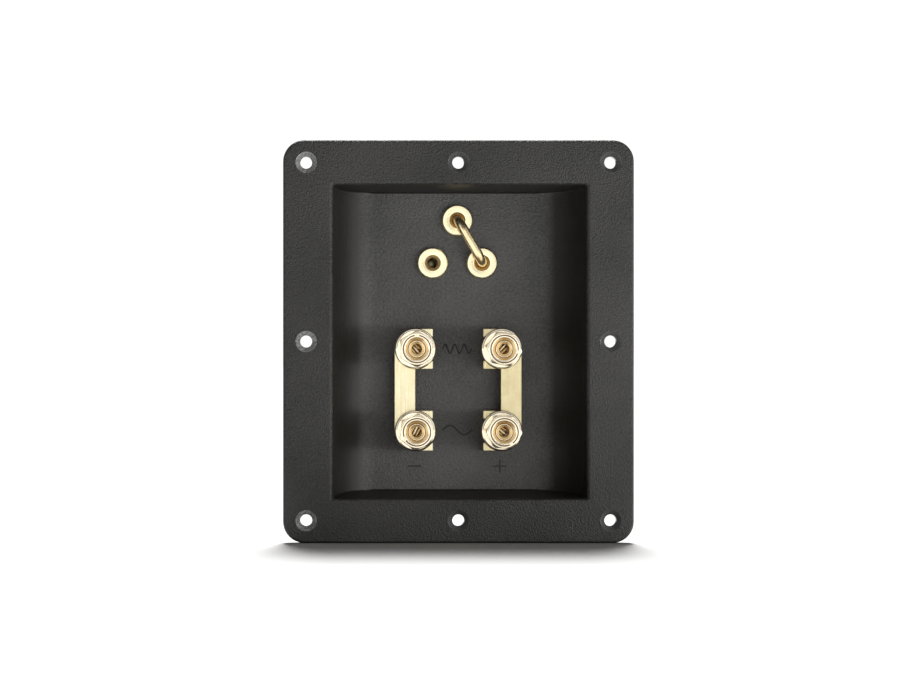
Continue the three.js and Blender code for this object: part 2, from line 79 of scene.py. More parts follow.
# shape dimensions in millimetres, in step with the frame
Y_FRONT = PLATE_LO.y / MM
CUP_X, CUP_W, CUP_H, CUP_DEPTH, CUP_WALL = 0.5, 95.5, 118.1, 25.0, 3.0
Y_FLOOR = Y_FRONT + CUP_DEPTH
Y_BACK = Y_FLOOR + CUP_WALL
PLATE_W = (PLATE_HI.x - PLATE_LO.x) / MM
PLATE_H = (PLATE_HI.z - PLATE_LO.z) / MM
Y_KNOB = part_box("knob_hf_minus")[0].y / MM
KNOB_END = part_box("knob_hf_minus")[1].y / MM
Y_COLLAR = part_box("clamp_collar_hf_minus")[0].y / MM
COLLAR_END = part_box("clamp_collar_hf_minus")[1].y / MM
Y_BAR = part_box("jumper_bar_minus")[0].y / MM
BAR_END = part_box("jumper_bar_minus")[1].y / MM
Y_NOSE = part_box("post_stud_hf_minus")[0].y / MM
STUD_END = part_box("post_stud_hf_minus")[1].y / MM
Y_SHOULDER = BAR_END + 0.15
Y_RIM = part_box("socket_top")[0].y / MM
SOCKET_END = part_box("socket_top")[1].y / MM

# ---------------------------------------------------------------- mesh helpers


def fillet(points, closed=False, steps=5):
    """Rounds the corners of a profile. points: (r, y, radius)."""
    out = []
    n = len(points)
    for i, (x, y, rad) in enumerate(points):
        if rad <= 0 or (not closed and i in (0, n - 1)):
            out.append((x, y))
            continue
        p = np.array([x, y], float)
        a = np.array(points[(i - 1) % n][:2], float) - p
        b = np.array(points[(i + 1) % n][:2], float) - p
        la, lb = np.linalg.norm(a), np.linalg.norm(b)
        a, b = a / la, b / lb
        ang = math.acos(max(-1, min(1, float(a @ b))))
        cut = min(rad / math.tan(ang / 2), la * 0.49, lb * 0.49)
        r = cut * math.tan(ang / 2)
        mid = (a + b) / np.linalg.norm(a + b)
        c = p + mid * (r / math.sin(ang / 2))
        s, e = p + a * cut - c, p + b * cut - c
        a0 = math.atan2(s[1], s[0])
        da = math.atan2(e[1], e[0]) - a0
        da = (da + math.pi) % (2 * math.pi) - math.pi
        for k in range(steps + 1):
            t = a0 + da * k / steps
            out.append((c[0] + r * math.cos(t), c[1] + r * math.sin(t)))
    return out


def make_object(name, verts, faces, materials, loc=(0, 0, 0), sharp=32.0, weighted=True, mat_index=None):
    mesh = bpy.data.meshes.new(name)
    mesh.from_pydata([tuple(v) for v in verts], [], faces)
    bm = bmesh.new()
    bm.from_mesh(mesh)
    bmesh.ops.remove_doubles(bm, verts=bm.verts, dist=1e-8)
    bmesh.ops.dissolve_degenerate(bm, dist=1e-9, edges=bm.edges)
    bmesh.ops.recalc_face_normals(bm, faces=bm.faces)
    for f in bm.faces:
        f.smooth = True
    bm.to_mesh(mesh)
    bm.free()
    obj = bpy.data.objects.new(name, mesh)
    scene.collection.objects.link(obj)
    obj.location = loc
    for m in materials:
        mesh.materials.append(m)
    if mat_index is not None:
        for p in mesh.polygons:
            p.material_index = mat_index(p)
    mesh.set_sharp_from_angle(angle=math.radians(sharp))
    if weighted:
        w = obj.modifiers.new("weighted", "WEIGHTED_NORMAL")
        w.keep_sharp = True
        w.weight = 60
    return obj


def turned_rings(profile, segs, radius=None, closed=True, thetas=None):
    """Grid of a profile turned round Y. radius(theta, r, y, i) may change r (all in mm)."""
    if thetas is None:
        thetas = [2 * math.pi * k / segs for k in range(segs)]
    n = len(thetas)
    verts, rows = [], []
    for i, (r, y) in enumerate(profile):
        if r < 1e-7:
            rows.append([len(verts)] * n)
            verts.append((0, y * MM, 0))
            continue
        row = []
        for t in thetas:
            rr, yy = (r, y) if radius is None else radius(t, r, y, i)
            row.append(len(verts))
            verts.append((rr * MM * math.cos(t), yy * MM, rr * MM * math.sin(t)))
        rows.append(row)
    faces = []
    pairs = list(zip(rows, rows[1:]))
    if closed:
        pairs.append((rows[-1], rows[0]))
    for a, b in pairs:
        for k in range(n):
            j = (k + 1) % n
            quad = [a[k], a[j], b[j], b[k]]
            quad = [v for q, v in enumerate(quad) if v not in quad[:q]]
            if len(quad) > 2:
                faces.append(quad)
    return verts, faces


def turned(name, profile, materials, loc, segs=96, radius=None, closed=True, thetas=None, **kw):
    v, f = turned_rings(profile, segs, radius, closed, thetas)
    return make_object(name, v, f, materials, loc, **kw)


def prism(name, outline, y0, y1, materials, loc=(0, 0, 0), holes=(), bevel=0.2, steps=3, sharp=35.0):
    """A plate with the outline in X and Z (mm), between two levels of Y, with rounded edges."""
    bm = bmesh.new()

    def loop(pts):
        vs = [bm.verts.new((x * MM, y0 * MM, z * MM)) for x, z in pts]
        return [bm.edges.new((vs[i], vs[(i + 1) % len(vs)])) for i in range(len(vs))]

    edges = loop(outline)
    for h in holes:
        edges += loop(h)
    if holes:
        bmesh.ops.triangle_fill(bm, use_beauty=True, use_dissolve=False, edges=edges)
    else:
        bm.faces.new([e.verts[0] for e in edges])
    base = list(bm.faces)
    ext = bmesh.ops.extrude_face_region(bm, geom=base)
    top = [g for g in ext["geom"] if isinstance(g, bmesh.types.BMVert)]
    bmesh.ops.translate(bm, verts=top, vec=(0, (y1 - y0) * MM, 0))
    bmesh.ops.recalc_face_normals(bm, faces=bm.faces)
    flat = [f for f in bm.faces if abs(f.normal.y) > 0.99]
    bmesh.ops.dissolve_limit(bm, angle_limit=0.001, verts=bm.verts, edges=[e for e in bm.edges if all(f in flat for f in e.link_faces)])
    if bevel > 0:
        rim = [e for e in bm.edges if len(e.link_faces) == 2 and abs(e.link_faces[0].normal.y) + abs(e.link_faces[1].normal.y) > 0.9
               and abs(e.link_faces[0].normal.dot(e.link_faces[1].normal)) < 0.5]
        bmesh.ops.bevel(bm, geom=rim, offset=bevel * MM, segments=steps, profile=0.5, affect="EDGES", clamp_overlap=True)
    for f in bm.faces:
        f.smooth = True
    mesh = bpy.data.meshes.new(name)
    bm.to_mesh(mesh)
    bm.free()
    obj = bpy.data.objects.new(name, mesh)
    scene.collection.objects.link(obj)
    obj.location = loc
    for m in materials:
        mesh.materials.append(m)
    mesh.set_sharp_from_angle(angle=math.radians(sharp))
    w = obj.modifiers.new("weighted", "WEIGHTED_NORMAL")
    w.keep_sharp = True
    return obj


def apply_boolean(obj, cutters, operation="DIFFERENCE", own_crossings=False):
    """Cuts each cutter from obj in turn, with the result in its mesh."""
    for c in cutters:
        m = obj.modifiers.new("cut", "BOOLEAN")
        m.operation = operation
        m.solver = "EXACT"
        m.use_self = own_crossings
        m.object = c
        obj.modifiers.move(len(obj.modifiers) - 1, 0) if obj.modifiers[0].type == "WEIGHTED_NORMAL" else None
        bpy.context.view_layer.update()
        keep = [x for x in obj.modifiers if x.type == "WEIGHTED_NORMAL"]
        for k in keep:
            k.show_viewport = False
        dg = bpy.context.evaluated_depsgraph_get()
        new = bpy.data.meshes.new_from_object(obj.evaluated_get(dg), preserve_all_data_layers=True, depsgraph=dg)
        obj.modifiers.remove(m)
        old = obj.data
        if len(new.vertices) < 0.5 * len(old.vertices):
            raise RuntimeError(f"a cut emptied {obj.name}: {len(old.vertices)} -> {len(new.vertices)}")
        obj.data = new
        bpy.data.meshes.remove(old)
        for k in keep:
            k.show_viewport = True
    for c in cutters:
        bpy.data.objects.remove(c)
    return obj


def hex_radius(theta, flats, corner, vertex):
    """Distance to a rounded hexagon's side. vertex: the angle of one corner."""
    a = flats / 2
    u = (theta - vertex) % (math.pi / 3)
    phi = abs(u - math.pi / 6)
    inner = (a - corner) * math.tan(math.pi / 6)
    if a * math.tan(phi) <= inner:
        return a / math.cos(phi)
    d = math.hypot(a - corner, inner)
    delta = math.pi / 6 - phi
    return d * math.cos(delta) + math.sqrt(max(corner * corner - (d * math.sin(delta)) ** 2, 0))


def hex_thetas(vertex, flat_steps=10, corner_steps=10):
    out = []
    for s in range(6):
        c = vertex + s * math.pi / 3
        w = math.radians(5)
        for k in range(corner_steps):
            out.append(c - w + 2 * w * k / corner_steps)
        for k in range(flat_steps):
            out.append(c + w + (math.pi / 3 - 2 * w) * k / flat_steps)
    return out


def thread(r_minor, r_major, y0, y1, pitch=1.0, steps=8, flip=False):
    """Profile levels of a screw thread, and the radius function that winds it."""
    n = int((y1 - y0) / pitch * steps)
    levels = [(r_major, y0 + (y1 - y0) * i / n) for i in range(n + 1)]

    def radius(theta, y):
        f = (y / pitch - (-theta if flip else theta) / (2 * math.pi)) % 1.0
        t = abs(2 * f - 1)
        t = min(max((t - 0.12) / 0.76, 0), 1)
        t = t * t * (3 - 2 * t) * 0.35 + t * 0.65
        fade = min((y - y0) / (0.8 * pitch), (y1 - y) / (0.8 * pitch), 1)
        return r_minor + (r_major - r_minor) * (t * max(fade, 0))

    return levels, radius


# ------------------------------------------------------------------- materials


def node_material(name):
    m = bpy.data.materials.new(name)
    m.use_nodes = True
    nt = m.node_tree
    bsdf = next(n for n in nt.nodes if n.type == "BSDF_PRINCIPLED")
    return m, nt, bsdf


def N(nt, kind, **inputs):
    n = nt.nodes.new(kind)
    for k, v in inputs.items():
        if hasattr(n, k):
            setattr(n, k, v)
        else:
            n.inputs[k.replace("_", " ")].default_value = v
    return n


def ramp(nt, source, stops):
    r = nt.nodes.new("ShaderNodeValToRGB")
    e = r.color_ramp.elements
    e[0].position, e[0].color = stops[0][0], (*stops[0][1], 1)
    e[1].position, e[1].color = stops[-1][0], (*stops[-1][1], 1)
    for p, c in stops[1:-1]:
        x = e.new(p)
        x.color = (*c, 1)
    nt.links.new(source, r.inputs["Fac"])
    return r.outputs["Color"]


def remap(nt, source, lo, hi, a=0.3, b=0.7):
    m = nt.nodes.new("ShaderNodeMapRange")
    m.inputs["From Min"].default_value = a
    m.inputs["From Max"].default_value = b
    m.inputs["To Min"].default_value = lo
    m.inputs["To Max"].default_value = hi
    nt.links.new(source, m.inputs["Value"])
    return m.outputs["Result"]


def plastic(name, base, light, rough, grain, gloss=0.5, side=None):
    """Moulded ABS: spark-eroded grain, slight tone and gloss variation.
    side: (base, light, rough, gloss) on walls that turn away from the front: a darker colour there, which is painted
    shade, with its own roughness and gloss."""
    m, nt, b = node_material(name)
    L = nt.links.new
    tc = nt.nodes.new("ShaderNodeTexCoord")
    broad = N(nt, "ShaderNodeTexNoise", Scale=22.0, Detail=3.0, Roughness=0.55)
    L(tc.outputs["Object"], broad.inputs["Vector"])
    fine = N(nt, "ShaderNodeTexNoise", Scale=1000.0, Detail=3.0, Roughness=0.68)
    L(tc.outputs["Object"], fine.inputs["Vector"])
    cells = N(nt, "ShaderNodeTexVoronoi", Scale=1900.0)
    cells.feature = "SMOOTH_F1"
    cells.inputs["Smoothness"].default_value = 0.6
    L(tc.outputs["Object"], cells.inputs["Vector"])
    mixed = nt.nodes.new("ShaderNodeMath")
    mixed.operation = "MULTIPLY_ADD"
    L(cells.outputs["Distance"], mixed.inputs[0])
    mixed.inputs[1].default_value = 0.7
    L(fine.outputs["Fac"], mixed.inputs[2])
    tone = nt.nodes.new("ShaderNodeMath")
    tone.operation = "MULTIPLY_ADD"
    L(fine.outputs["Fac"], tone.inputs[0])
    tone.inputs[1].default_value = 0.55
    half = nt.nodes.new("ShaderNodeMath")
    half.operation = "MULTIPLY"
    L(broad.outputs["Fac"], half.inputs[0])
    half.inputs[1].default_value = 0.45
    L(half.outputs[0], tone.inputs[2])
    colour = ramp(nt, tone.outputs[0], [(0.38, base), (0.62, light)])
    shine = remap(nt, fine.outputs["Fac"], rough - 0.07, rough + 0.09)
    bump = nt.nodes.new("ShaderNodeBump")
    bump.inputs["Strength"].default_value = grain
    b.inputs["Specular IOR Level"].default_value = gloss
    # walls turning away from the front blend to the darker colour: painted shade
    if side:
        s_base, s_light, s_rough, s_gloss = side
        sep = nt.nodes.new("ShaderNodeSeparateXYZ")
        L(tc.outputs["Normal"], sep.inputs[0])
        wall_shade_mask = nt.nodes.new("ShaderNodeMapRange")
        wall_shade_mask.interpolation_type = "SMOOTHSTEP"
        for k, v in (("From Min", -0.84), ("From Max", -0.997), ("To Min", 0.0), ("To Max", 1.0)):
            wall_shade_mask.inputs[k].default_value = v
        L(sep.outputs["Y"], wall_shade_mask.inputs["Value"])
        f = wall_shade_mask.outputs["Result"]
        mixc = nt.nodes.new("ShaderNodeMix")
        mixc.data_type = "RGBA"
        L(f, mixc.inputs["Factor"])
        L(ramp(nt, tone.outputs[0], [(0.38, s_base), (0.62, s_light)]), mixc.inputs[6])
        L(colour, mixc.inputs[7])
        colour = mixc.outputs[2]
        mixr = nt.nodes.new("ShaderNodeMix")
        L(f, mixr.inputs[0])
        L(remap(nt, fine.outputs["Fac"], s_rough - 0.05, s_rough + 0.07), mixr.inputs[2])
        L(shine, mixr.inputs[3])
        shine = mixr.outputs[0]
        for socket_name, lo, hi, node in (("Specular IOR Level", s_gloss, gloss, b), ("Strength", grain * 0.22, grain, bump)):
            mr = nt.nodes.new("ShaderNodeMapRange")
            mr.inputs["To Min"].default_value = lo
            mr.inputs["To Max"].default_value = hi
            L(f, mr.inputs["Value"])
            L(mr.outputs["Result"], node.inputs[socket_name])
    L(colour, b.inputs["Base Color"])
    L(shine, b.inputs["Roughness"])
    bump.inputs["Distance"].default_value = 0.0003
    L(mixed.outputs[0], bump.inputs["Height"])
    L(bump.outputs["Normal"], b.inputs["Normal"])
    return m


def gold(name, low, high, rough, turning=0.0, pitch=0.10, brushed=0.0, speck=0.0):
    """Gold-plated brass. turning: fine lathe rings round the piece's own Y axis."""
    m, nt, b = node_material(name)
    L = nt.links.new
    tc = nt.nodes.new("ShaderNodeTexCoord")
    cloud = N(nt, "ShaderNodeTexNoise", Scale=180.0, Detail=4.0, Roughness=0.6)
    L(tc.outputs["Object"], cloud.inputs["Vector"])
    L(ramp(nt, cloud.outputs["Fac"], [(0.32, low), (0.68, high)]), b.inputs["Base Color"])
    b.inputs["Metallic"].default_value = 1.0
    micro = N(nt, "ShaderNodeTexNoise", Scale=1400.0, Detail=5.0, Roughness=0.7)
    if brushed:
        mp = nt.nodes.new("ShaderNodeMapping")
        mp.inputs["Scale"].default_value = (1.0, 1.0, 0.06)
        L(tc.outputs["Object"], mp.inputs["Vector"])
        L(mp.outputs["Vector"], micro.inputs["Vector"])
    else:
        L(tc.outputs["Object"], micro.inputs["Vector"])
    L(remap(nt, micro.outputs["Fac"], rough * 0.75, rough * 1.35), b.inputs["Roughness"])
    height = micro.outputs["Fac"]
    strength, dist = 0.03 + brushed, 0.00002
    if turning:
        wave = nt.nodes.new("ShaderNodeTexWave")
        wave.wave_type = "RINGS"
        wave.rings_direction = "Y"
        wave.inputs["Scale"].default_value = 0.314 / (pitch * MM)
        wave.inputs["Distortion"].default_value = 0.6
        wave.inputs["Detail"].default_value = 2.0
        L(tc.outputs["Object"], wave.inputs["Vector"])
        add = nt.nodes.new("ShaderNodeMath")
        add.operation = "MULTIPLY_ADD"
        L(micro.outputs["Fac"], add.inputs[0])
        add.inputs[1].default_value = 0.5
        L(wave.outputs["Fac"], add.inputs[2])
        height = add.outputs[0]
        strength = turning
    bump = nt.nodes.new("ShaderNodeBump")
    bump.inputs["Strength"].default_value = strength
    bump.inputs["Distance"].default_value = dist
    L(height, bump.inputs["Height"])
    L(bump.outputs["Normal"], b.inputs["Normal"])
    return m


def grey_metal(name, low, high, rough, scale):
    m, nt, b = node_material(name)
    L = nt.links.new
    tc = nt.nodes.new("ShaderNodeTexCoord")
    cloud = N(nt, "ShaderNodeTexNoise", Scale=scale, Detail=5.0, Roughness=0.6)
    L(tc.outputs["Object"], cloud.inputs["Vector"])
    L(ramp(nt, cloud.outputs["Fac"], [(0.3, low), (0.7, high)]), b.inputs["Base Color"])
    b.inputs["Metallic"].default_value = 1.0
    L(remap(nt, cloud.outputs["Fac"], rough * 0.7, rough * 1.4), b.inputs["Roughness"])
    bump = nt.nodes.new("ShaderNodeBump")
    bump.inputs["Strength"].default_value = 0.25
    bump.inputs["Distance"].default_value = 0.00003
    L(cloud.outputs["Fac"], bump.inputs["Height"])
    L(bump.outputs["Normal"], b.inputs["Normal"])
    return m


PLASTIC = plastic("black_abs_flange", (0.006, 0.0056, 0.0052), (0.032, 0.0306, 0.0290), 0.50, 0.85)
# cup inside: grained black plastic; its floor is lighter than the flange as painted light, its turned-away walls
# darker as painted shade
PLASTIC_INSIDE_PAINTED = plastic("black_abs_floor_painted_light_walls_painted_shade", (0.022, 0.0215, 0.0205), (0.085, 0.083, 0.080), 0.54, 1.0, 0.66,
                         side=((0.010, 0.0090, 0.0076), (0.021, 0.0190, 0.0162), 0.50, 0.34))
# countersink cones: smoother than the flange, and a lighter colour that is painted highlight
PLASTIC_CONE_PAINTED_HIGHLIGHT = plastic("black_abs_cone_painted_highlight", (0.065, 0.065, 0.065), (0.085, 0.085, 0.085), 0.20, 0.05)
# the left column's countersink cones: grey, a painted highlight
PLASTIC_LEFT_CONE_PAINTED_HIGHLIGHT = plastic("black_abs_left_cone_painted_highlight", (0.10, 0.10, 0.098), (0.36, 0.36, 0.355), 0.26, 0.30)
# engraved marks: darker than the floor, painted shade in the grooves
PLASTIC_MARK_PAINTED_SHADE = plastic("black_abs_engraved_painted_shade", (0.006, 0.006, 0.0058), (0.012, 0.012, 0.0115), 0.55, 0.10)
# deeper amber gold inside the knob's recess and on the stud's nose: painted shade
RECESS_GOLD_PAINTED_SHADE = gold("gold_knob_recess_painted_shade", (0.93, 0.67, 0.31), (1.0, 0.76, 0.40), 0.40, turning=0.05, pitch=0.10)
# darker gold for the stud's bore and the socket's countersink: painted shade
BORE_GOLD_PAINTED_SHADE = gold("gold_bore_painted_shade", (0.60, 0.46, 0.27), (0.72, 0.57, 0.36), 0.32, turning=0.10, pitch=0.10)
# darker still for the socket's deep bore: painted shade
DEEP_BORE_PAINTED_SHADE = gold("gold_deep_bore_painted_shade", (0.40, 0.37, 0.25), (0.54, 0.50, 0.35), 0.34)
# dark gold in the knob's ring groove: painted shade
GROOVE_GOLD_PAINTED_SHADE = gold("gold_groove_painted_shade", (0.16, 0.12, 0.08), (0.24, 0.19, 0.12), 0.45)
KNOB_GOLD = gold("gold_knob", (0.94, 0.81, 0.59), (0.99, 0.89, 0.71), 0.12, turning=0.10, pitch=0.12)
STUD_GOLD = gold("gold_stud", (0.78, 0.58, 0.32), (0.88, 0.68, 0.40), 0.16, turning=0.12, pitch=0.10)
SOCKET_GOLD = gold("gold_socket", (1.0, 0.88, 0.55), (1.0, 0.92, 0.62), 0.22, turning=0.03, pitch=0.12)
LINK_GOLD = gold("gold_link", (1.0, 0.78, 0.45), (1.0, 0.85, 0.54), 0.27)
BAR_GOLD = gold("gold_bar", (0.92, 0.82, 0.53), (0.98, 0.89, 0.61), 0.30, brushed=0.10)
# the right bar: the same gold, darker as painted shade, and slightly rougher and more brushed
BAR_GOLD_ROUGHER_SHADED = gold("gold_bar_rougher_painted_shade", (0.70, 0.60, 0.34), (0.84, 0.74, 0.46), 0.32, brushed=0.16)
STEEL = grey_metal("zinc_spring_steel", (0.50, 0.50, 0.50), (0.66, 0.66, 0.65), 0.32, 700.0)
TINNED = grey_metal("tinned_brass", (0.66, 0.63, 0.56), (0.80, 0.78, 0.73), 0.30, 420.0)


def place(obj, body, slot, *nodes):
    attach(obj, body)
    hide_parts(*nodes)
    return obj


# -------------------------------------------------------------- terminal plate


def rounded_rect_ring(hw, hh, r, n, cx=0.0):
    pts = []
    for qx, qz, a0 in ((1, 1, 0), (-1, 1, 90), (-1, -1, 180), (1, -1, 270)):
        for k in range(n + 1):
            a = math.radians(a0 + 90 * k / n)
            pts.append((cx + qx * (hw - r) + r * math.cos(a), qz * (hh - r) + r * math.sin(a)))
    return pts


def plate_mesh():
    n = 10
    straight, run = 4.0, 17.0
    slope = 1.7 / CUP_DEPTH
    rings = []

    def ring(hw, hh, r, y, cx=0.0):
        rings.append([(x * MM, y * MM, z * MM) for x, z in rounded_rect_ring(hw, hh, r, n, cx)])

    # outside of the cup, from its back to the flange
    g = CUP_WALL
    steps = 30
    for k in range(steps, -1, -1):
        a = math.radians(90 * k / steps)
        y = Y_FRONT + straight + (CUP_DEPTH - straight + g) * math.sin(a)
        hw = CUP_W / 2 - run + (run + g) * math.cos(a)
        hh = CUP_H / 2 + g - slope * (y - Y_FRONT)
        rnd = 1.2
        if y > Y_BACK - rnd:
            t = (y - (Y_BACK - rnd)) / rnd
            hh -= rnd * (1 - math.sqrt(max(1 - t * t, 0)))
        if y > 0.6:
            ring(hw, hh, 1.6, y, CUP_X)
    for k in range(6):                       # root fillet at the flange
        a = math.radians(90 * k / 5)
        y = 0.6 - 0.6 * math.sin(a)
        extra = 0.6 * (1 - math.cos(a))
        yy = Y_FRONT + straight
        s = max(0.0, (y - yy) / (CUP_DEPTH - straight + g))
        hw = CUP_W / 2 - run + (run + g) * math.sqrt(1 - s * s)
        ring(hw + extra, CUP_H / 2 + g - slope * (y - Y_FRONT) + extra, 1.6 + extra, y, CUP_X)
    # flange
    W, H = PLATE_W / 2, PLATE_H / 2
    ring(W - 0.3, H - 0.3, 7.7, 0.0)
    ring(W - 0.08, H - 0.08, 7.92, -0.08)
    ring(W, H, 8.0, -0.3)
    er = 1.0
    for k in range(9):
        a = math.radians(90 * k / 8)
        ring(W - er * (1 - math.cos(a)), H - er * (1 - math.cos(a)), 8.0 - er * (1 - math.cos(a)), Y_FRONT + er - er * math.sin(a))
    # opening's lip
    lip = 1.5
    for k in range(9):
        a = math.radians(90 * k / 8)
        inset = lip * math.sin(a)
        ring(CUP_W / 2 + lip - inset, CUP_H / 2 + 0.7 * lip - 0.7 * inset, 0.9, Y_FRONT + lip * (1 - math.cos(a)), CUP_X)
    # inside of the cup
    yy = Y_FRONT + straight
    for y in (Y_FRONT + 2.4, Y_FRONT + 3.3):
        ring(CUP_W / 2, CUP_H / 2 - slope * (y - Y_FRONT - lip), 0.8, y, CUP_X)
    steps = 36
    for k in range(steps + 1):
        a = math.radians(90 * k / steps)
        y = yy + (CUP_DEPTH - straight) * math.sin(a)
        hw = CUP_W / 2 - run + run * math.cos(a)
        hh = CUP_H / 2 - slope * (y - Y_FRONT - lip)
        rnd = 0.9
        if y > Y_FLOOR - rnd:
            t = (y - (Y_FLOOR - rnd)) / rnd
            hh -= rnd * (1 - math.sqrt(max(1 - t * t, 0)))
        ring(hw, hh, 0.8, y, CUP_X)
    verts, faces = [], []
    count = len(rings[0])
    for r in rings:
        verts += r
    faces.append(list(range(count))[::-1])
    for i in range(len(rings) - 1):
        for k in range(count):
            j = (k + 1) % count
            faces.append([i * count + k, i * count + j, (i + 1) * count + j, (i + 1) * count + k])
    last = (len(rings) - 1) * count
    faces.append([last + k for k in range(count)])
    return verts, faces


def cutter(name, verts, faces):
    mesh = bpy.data.meshes.new(name)
    mesh.from_pydata([tuple(v) for v in verts], [], faces)
    bm = bmesh.new()
    bm.from_mesh(mesh)
    bmesh.ops.remove_doubles(bm, verts=bm.verts, dist=1e-8)
    bmesh.ops.recalc_face_normals(bm, faces=bm.faces)
    bm.to_mesh(mesh)
    bm.free()
    o = bpy.data.objects.new(name, mesh)
    scene.collection.objects.link(o)
    return o


def stroke(points, width, y0, y1, caps=6):
    """Closed solid of a pen stroke along points (x, z), with round ends."""
    pts = [np.array(p, float) for p in points]
    left, right = [], []
    for i, p in enumerate(pts):
        d = pts[min(i + 1, len(pts) - 1)] - pts[max(i - 1, 0)]
        d /= np.linalg.norm(d)
        nrm = np.array([-d[1], d[0]])
        left.append(p + nrm * width / 2)
        right.append(p - nrm * width / 2)
    outline = list(left)
    for end, base, src in ((pts[-1], left[-1], 1), (pts[0], right[0], -1)):
        a0 = math.atan2(*(base - end)[::-1])
        for k in range(1, caps):
            a = a0 - math.pi * k / caps
            outline.append(end + width / 2 * np.array([math.cos(a), math.sin(a)]))
        if src == 1:
            outline += right[::-1]
    n = len(outline)
    verts = [(x * MM, y0 * MM, z * MM) for x, z in outline] + [(x * MM, y1 * MM, z * MM) for x, z in outline]
    faces = [list(range(n)), list(range(2 * n - 1, n - 1, -1))]
    faces += [[k, (k + 1) % n, n + (k + 1) % n, n + k] for k in range(n)]
    return verts, faces


plate_v, plate_f = plate_mesh()
plate = make_object("terminal_plate_fine", plate_v, plate_f, [PLASTIC, PLASTIC_INSIDE_PAINTED, PLASTIC_CONE_PAINTED_HIGHLIGHT, PLASTIC_LEFT_CONE_PAINTED_HIGHLIGHT, PLASTIC_MARK_PAINTED_SHADE], weighted=False)

SCREWS = [(x, z) for x in (-57.3, 0.0, 57.3) for z in (-67.4, 0.0, 67.4) if (x, z) != (0.0, 0.0)]
cut_v, cut_f = [], []


def merge(vf, dx=0.0, dz=0.0):
    base = len(cut_v)
    cut_v.extend([(x + dx * MM, y, z + dz * MM) for x, y, z in vf[0]])
    cut_f.extend([[base + i for i in f] for f in vf[1]])


cone = fillet([(0, Y_FRONT - 2, 0), (5.2, Y_FRONT - 2, 0), (5.2, Y_FRONT - 0.02, 0), (3.95, Y_FRONT - 0.02, 0.35), (2.27, Y_FRONT + 1.95, 0.3),
               (2.25, 0.0, 0), (2.55, 0.25, 0), (2.55, 1.0, 0), (0, 1.0, 0)], steps=5)
for x, z in SCREWS:
    merge(turned_rings(cone, 64, closed=False), x, z)
for x, z in list(POST.values()) + list(SOCK.values()):
    merge(turned_rings([(0, Y_FLOOR - 3), (4.3, Y_FLOOR - 3), (4.3, Y_BACK + 3), (0, Y_BACK + 3)], 48, closed=False), x / MM, z / MM)
DEEP = 0.5
y_a, y_b = Y_FLOOR - 1.0, Y_FLOOR + DEEP
MARK_Z, MARK, PEN = -48.1, 2.4, 0.55
xl, xr = POST["hf_minus"][0] / MM, POST["hf_plus"][0] / MM
merge(stroke([(xl - MARK, MARK_Z), (xl + MARK, MARK_Z)], PEN, y_a, y_b))
merge(stroke([(xr - MARK, MARK_Z), (xr + MARK, MARK_Z)], PEN, y_a, y_b))
waves = []
second_v, second_f = stroke([(xr, MARK_Z - MARK), (xr, MARK_Z + MARK)], PEN, y_a, y_b + 0.01)
for z, cycles in ((POST["hf_minus"][1] / MM, 3), (POST["lf_minus"][1] / MM, 1)):
    pts = [((t / 96 - 0.5) * 11.0, math.sin(t / 96 * cycles * 2 * math.pi) * 1.8) for t in range(97)]
    wave_v, wave_f = stroke(pts, PEN, y_a, y_b)
    waves.append(([(x + TERM_X * MM, y, v + z * MM) for x, y, v in wave_v], wave_f))

apply_boolean(plate, [cutter("cut_a", cut_v, cut_f), cutter("cut_b", second_v, second_f)])
apply_boolean(plate, [cutter("cut_wave", *w) for w in waves], own_crossings=True)
me = plate.data
screw_xy = np.array(SCREWS) * MM
for p in me.polygons:
    c, nrm = p.center, p.normal
    near = float(np.min(np.hypot(screw_xy[:, 0] - c.x, screw_xy[:, 1] - c.z)))
    inside = abs(c.x - CUP_X * MM) < (CUP_W / 2 + 0.4) * MM and abs(c.z) < (CUP_H / 2 + 0.4) * MM
    # countersink cones take the lighter colour, painted highlight; the left column's front cones take a lighter one
    # still
    if near < 4.3 * MM and abs(nrm.y) < 0.995 and c.y < 0.0005:
        # left column front cones: painted highlight
        p.material_index = 3 if c.x < -0.05 and c.y < (Y_FRONT + 1.25) * MM else 2
    # inside the cup: painted light on the lighter floor, painted shade on the walls
    elif inside and (Y_FRONT + 1.2) * MM < c.y < (Y_FLOOR + 0.3) * MM:
        p.material_index = 1
    else:
        p.material_index = 0
    # faces of the engraved marks take the darker colour: painted shade
    if (Y_FLOOR + 0.02) * MM < c.y < (Y_FLOOR + DEEP + 0.05) * MM:
        near = min(math.hypot(c.x - x, c.z - z) for x, z in list(POST.values()) + list(SOCK.values()))
        if near > 4.6 * MM:
            p.material_index = 4
    p.use_smooth = True
me.set_sharp_from_angle(angle=math.radians(30))
wn = plate.modifiers.new("weighted", "WEIGHTED_NORMAL")
wn.keep_sharp = True
wn.weight = 60
place(plate, "plate", "black_plastic", "terminal_plate")

# --------------------------------------------------------------- binding posts

WIRE = {"hf_minus": -45, "hf_plus": 45, "lf_minus": 62, "lf_plus": -38}
CORNER = {"hf_minus": 30, "hf_plus": 50, "lf_minus": 22, "lf_plus": 58}
MARK_AT = {"hf_minus": 90, "hf_plus": -10, "lf_minus": 208, "lf_plus": 300}


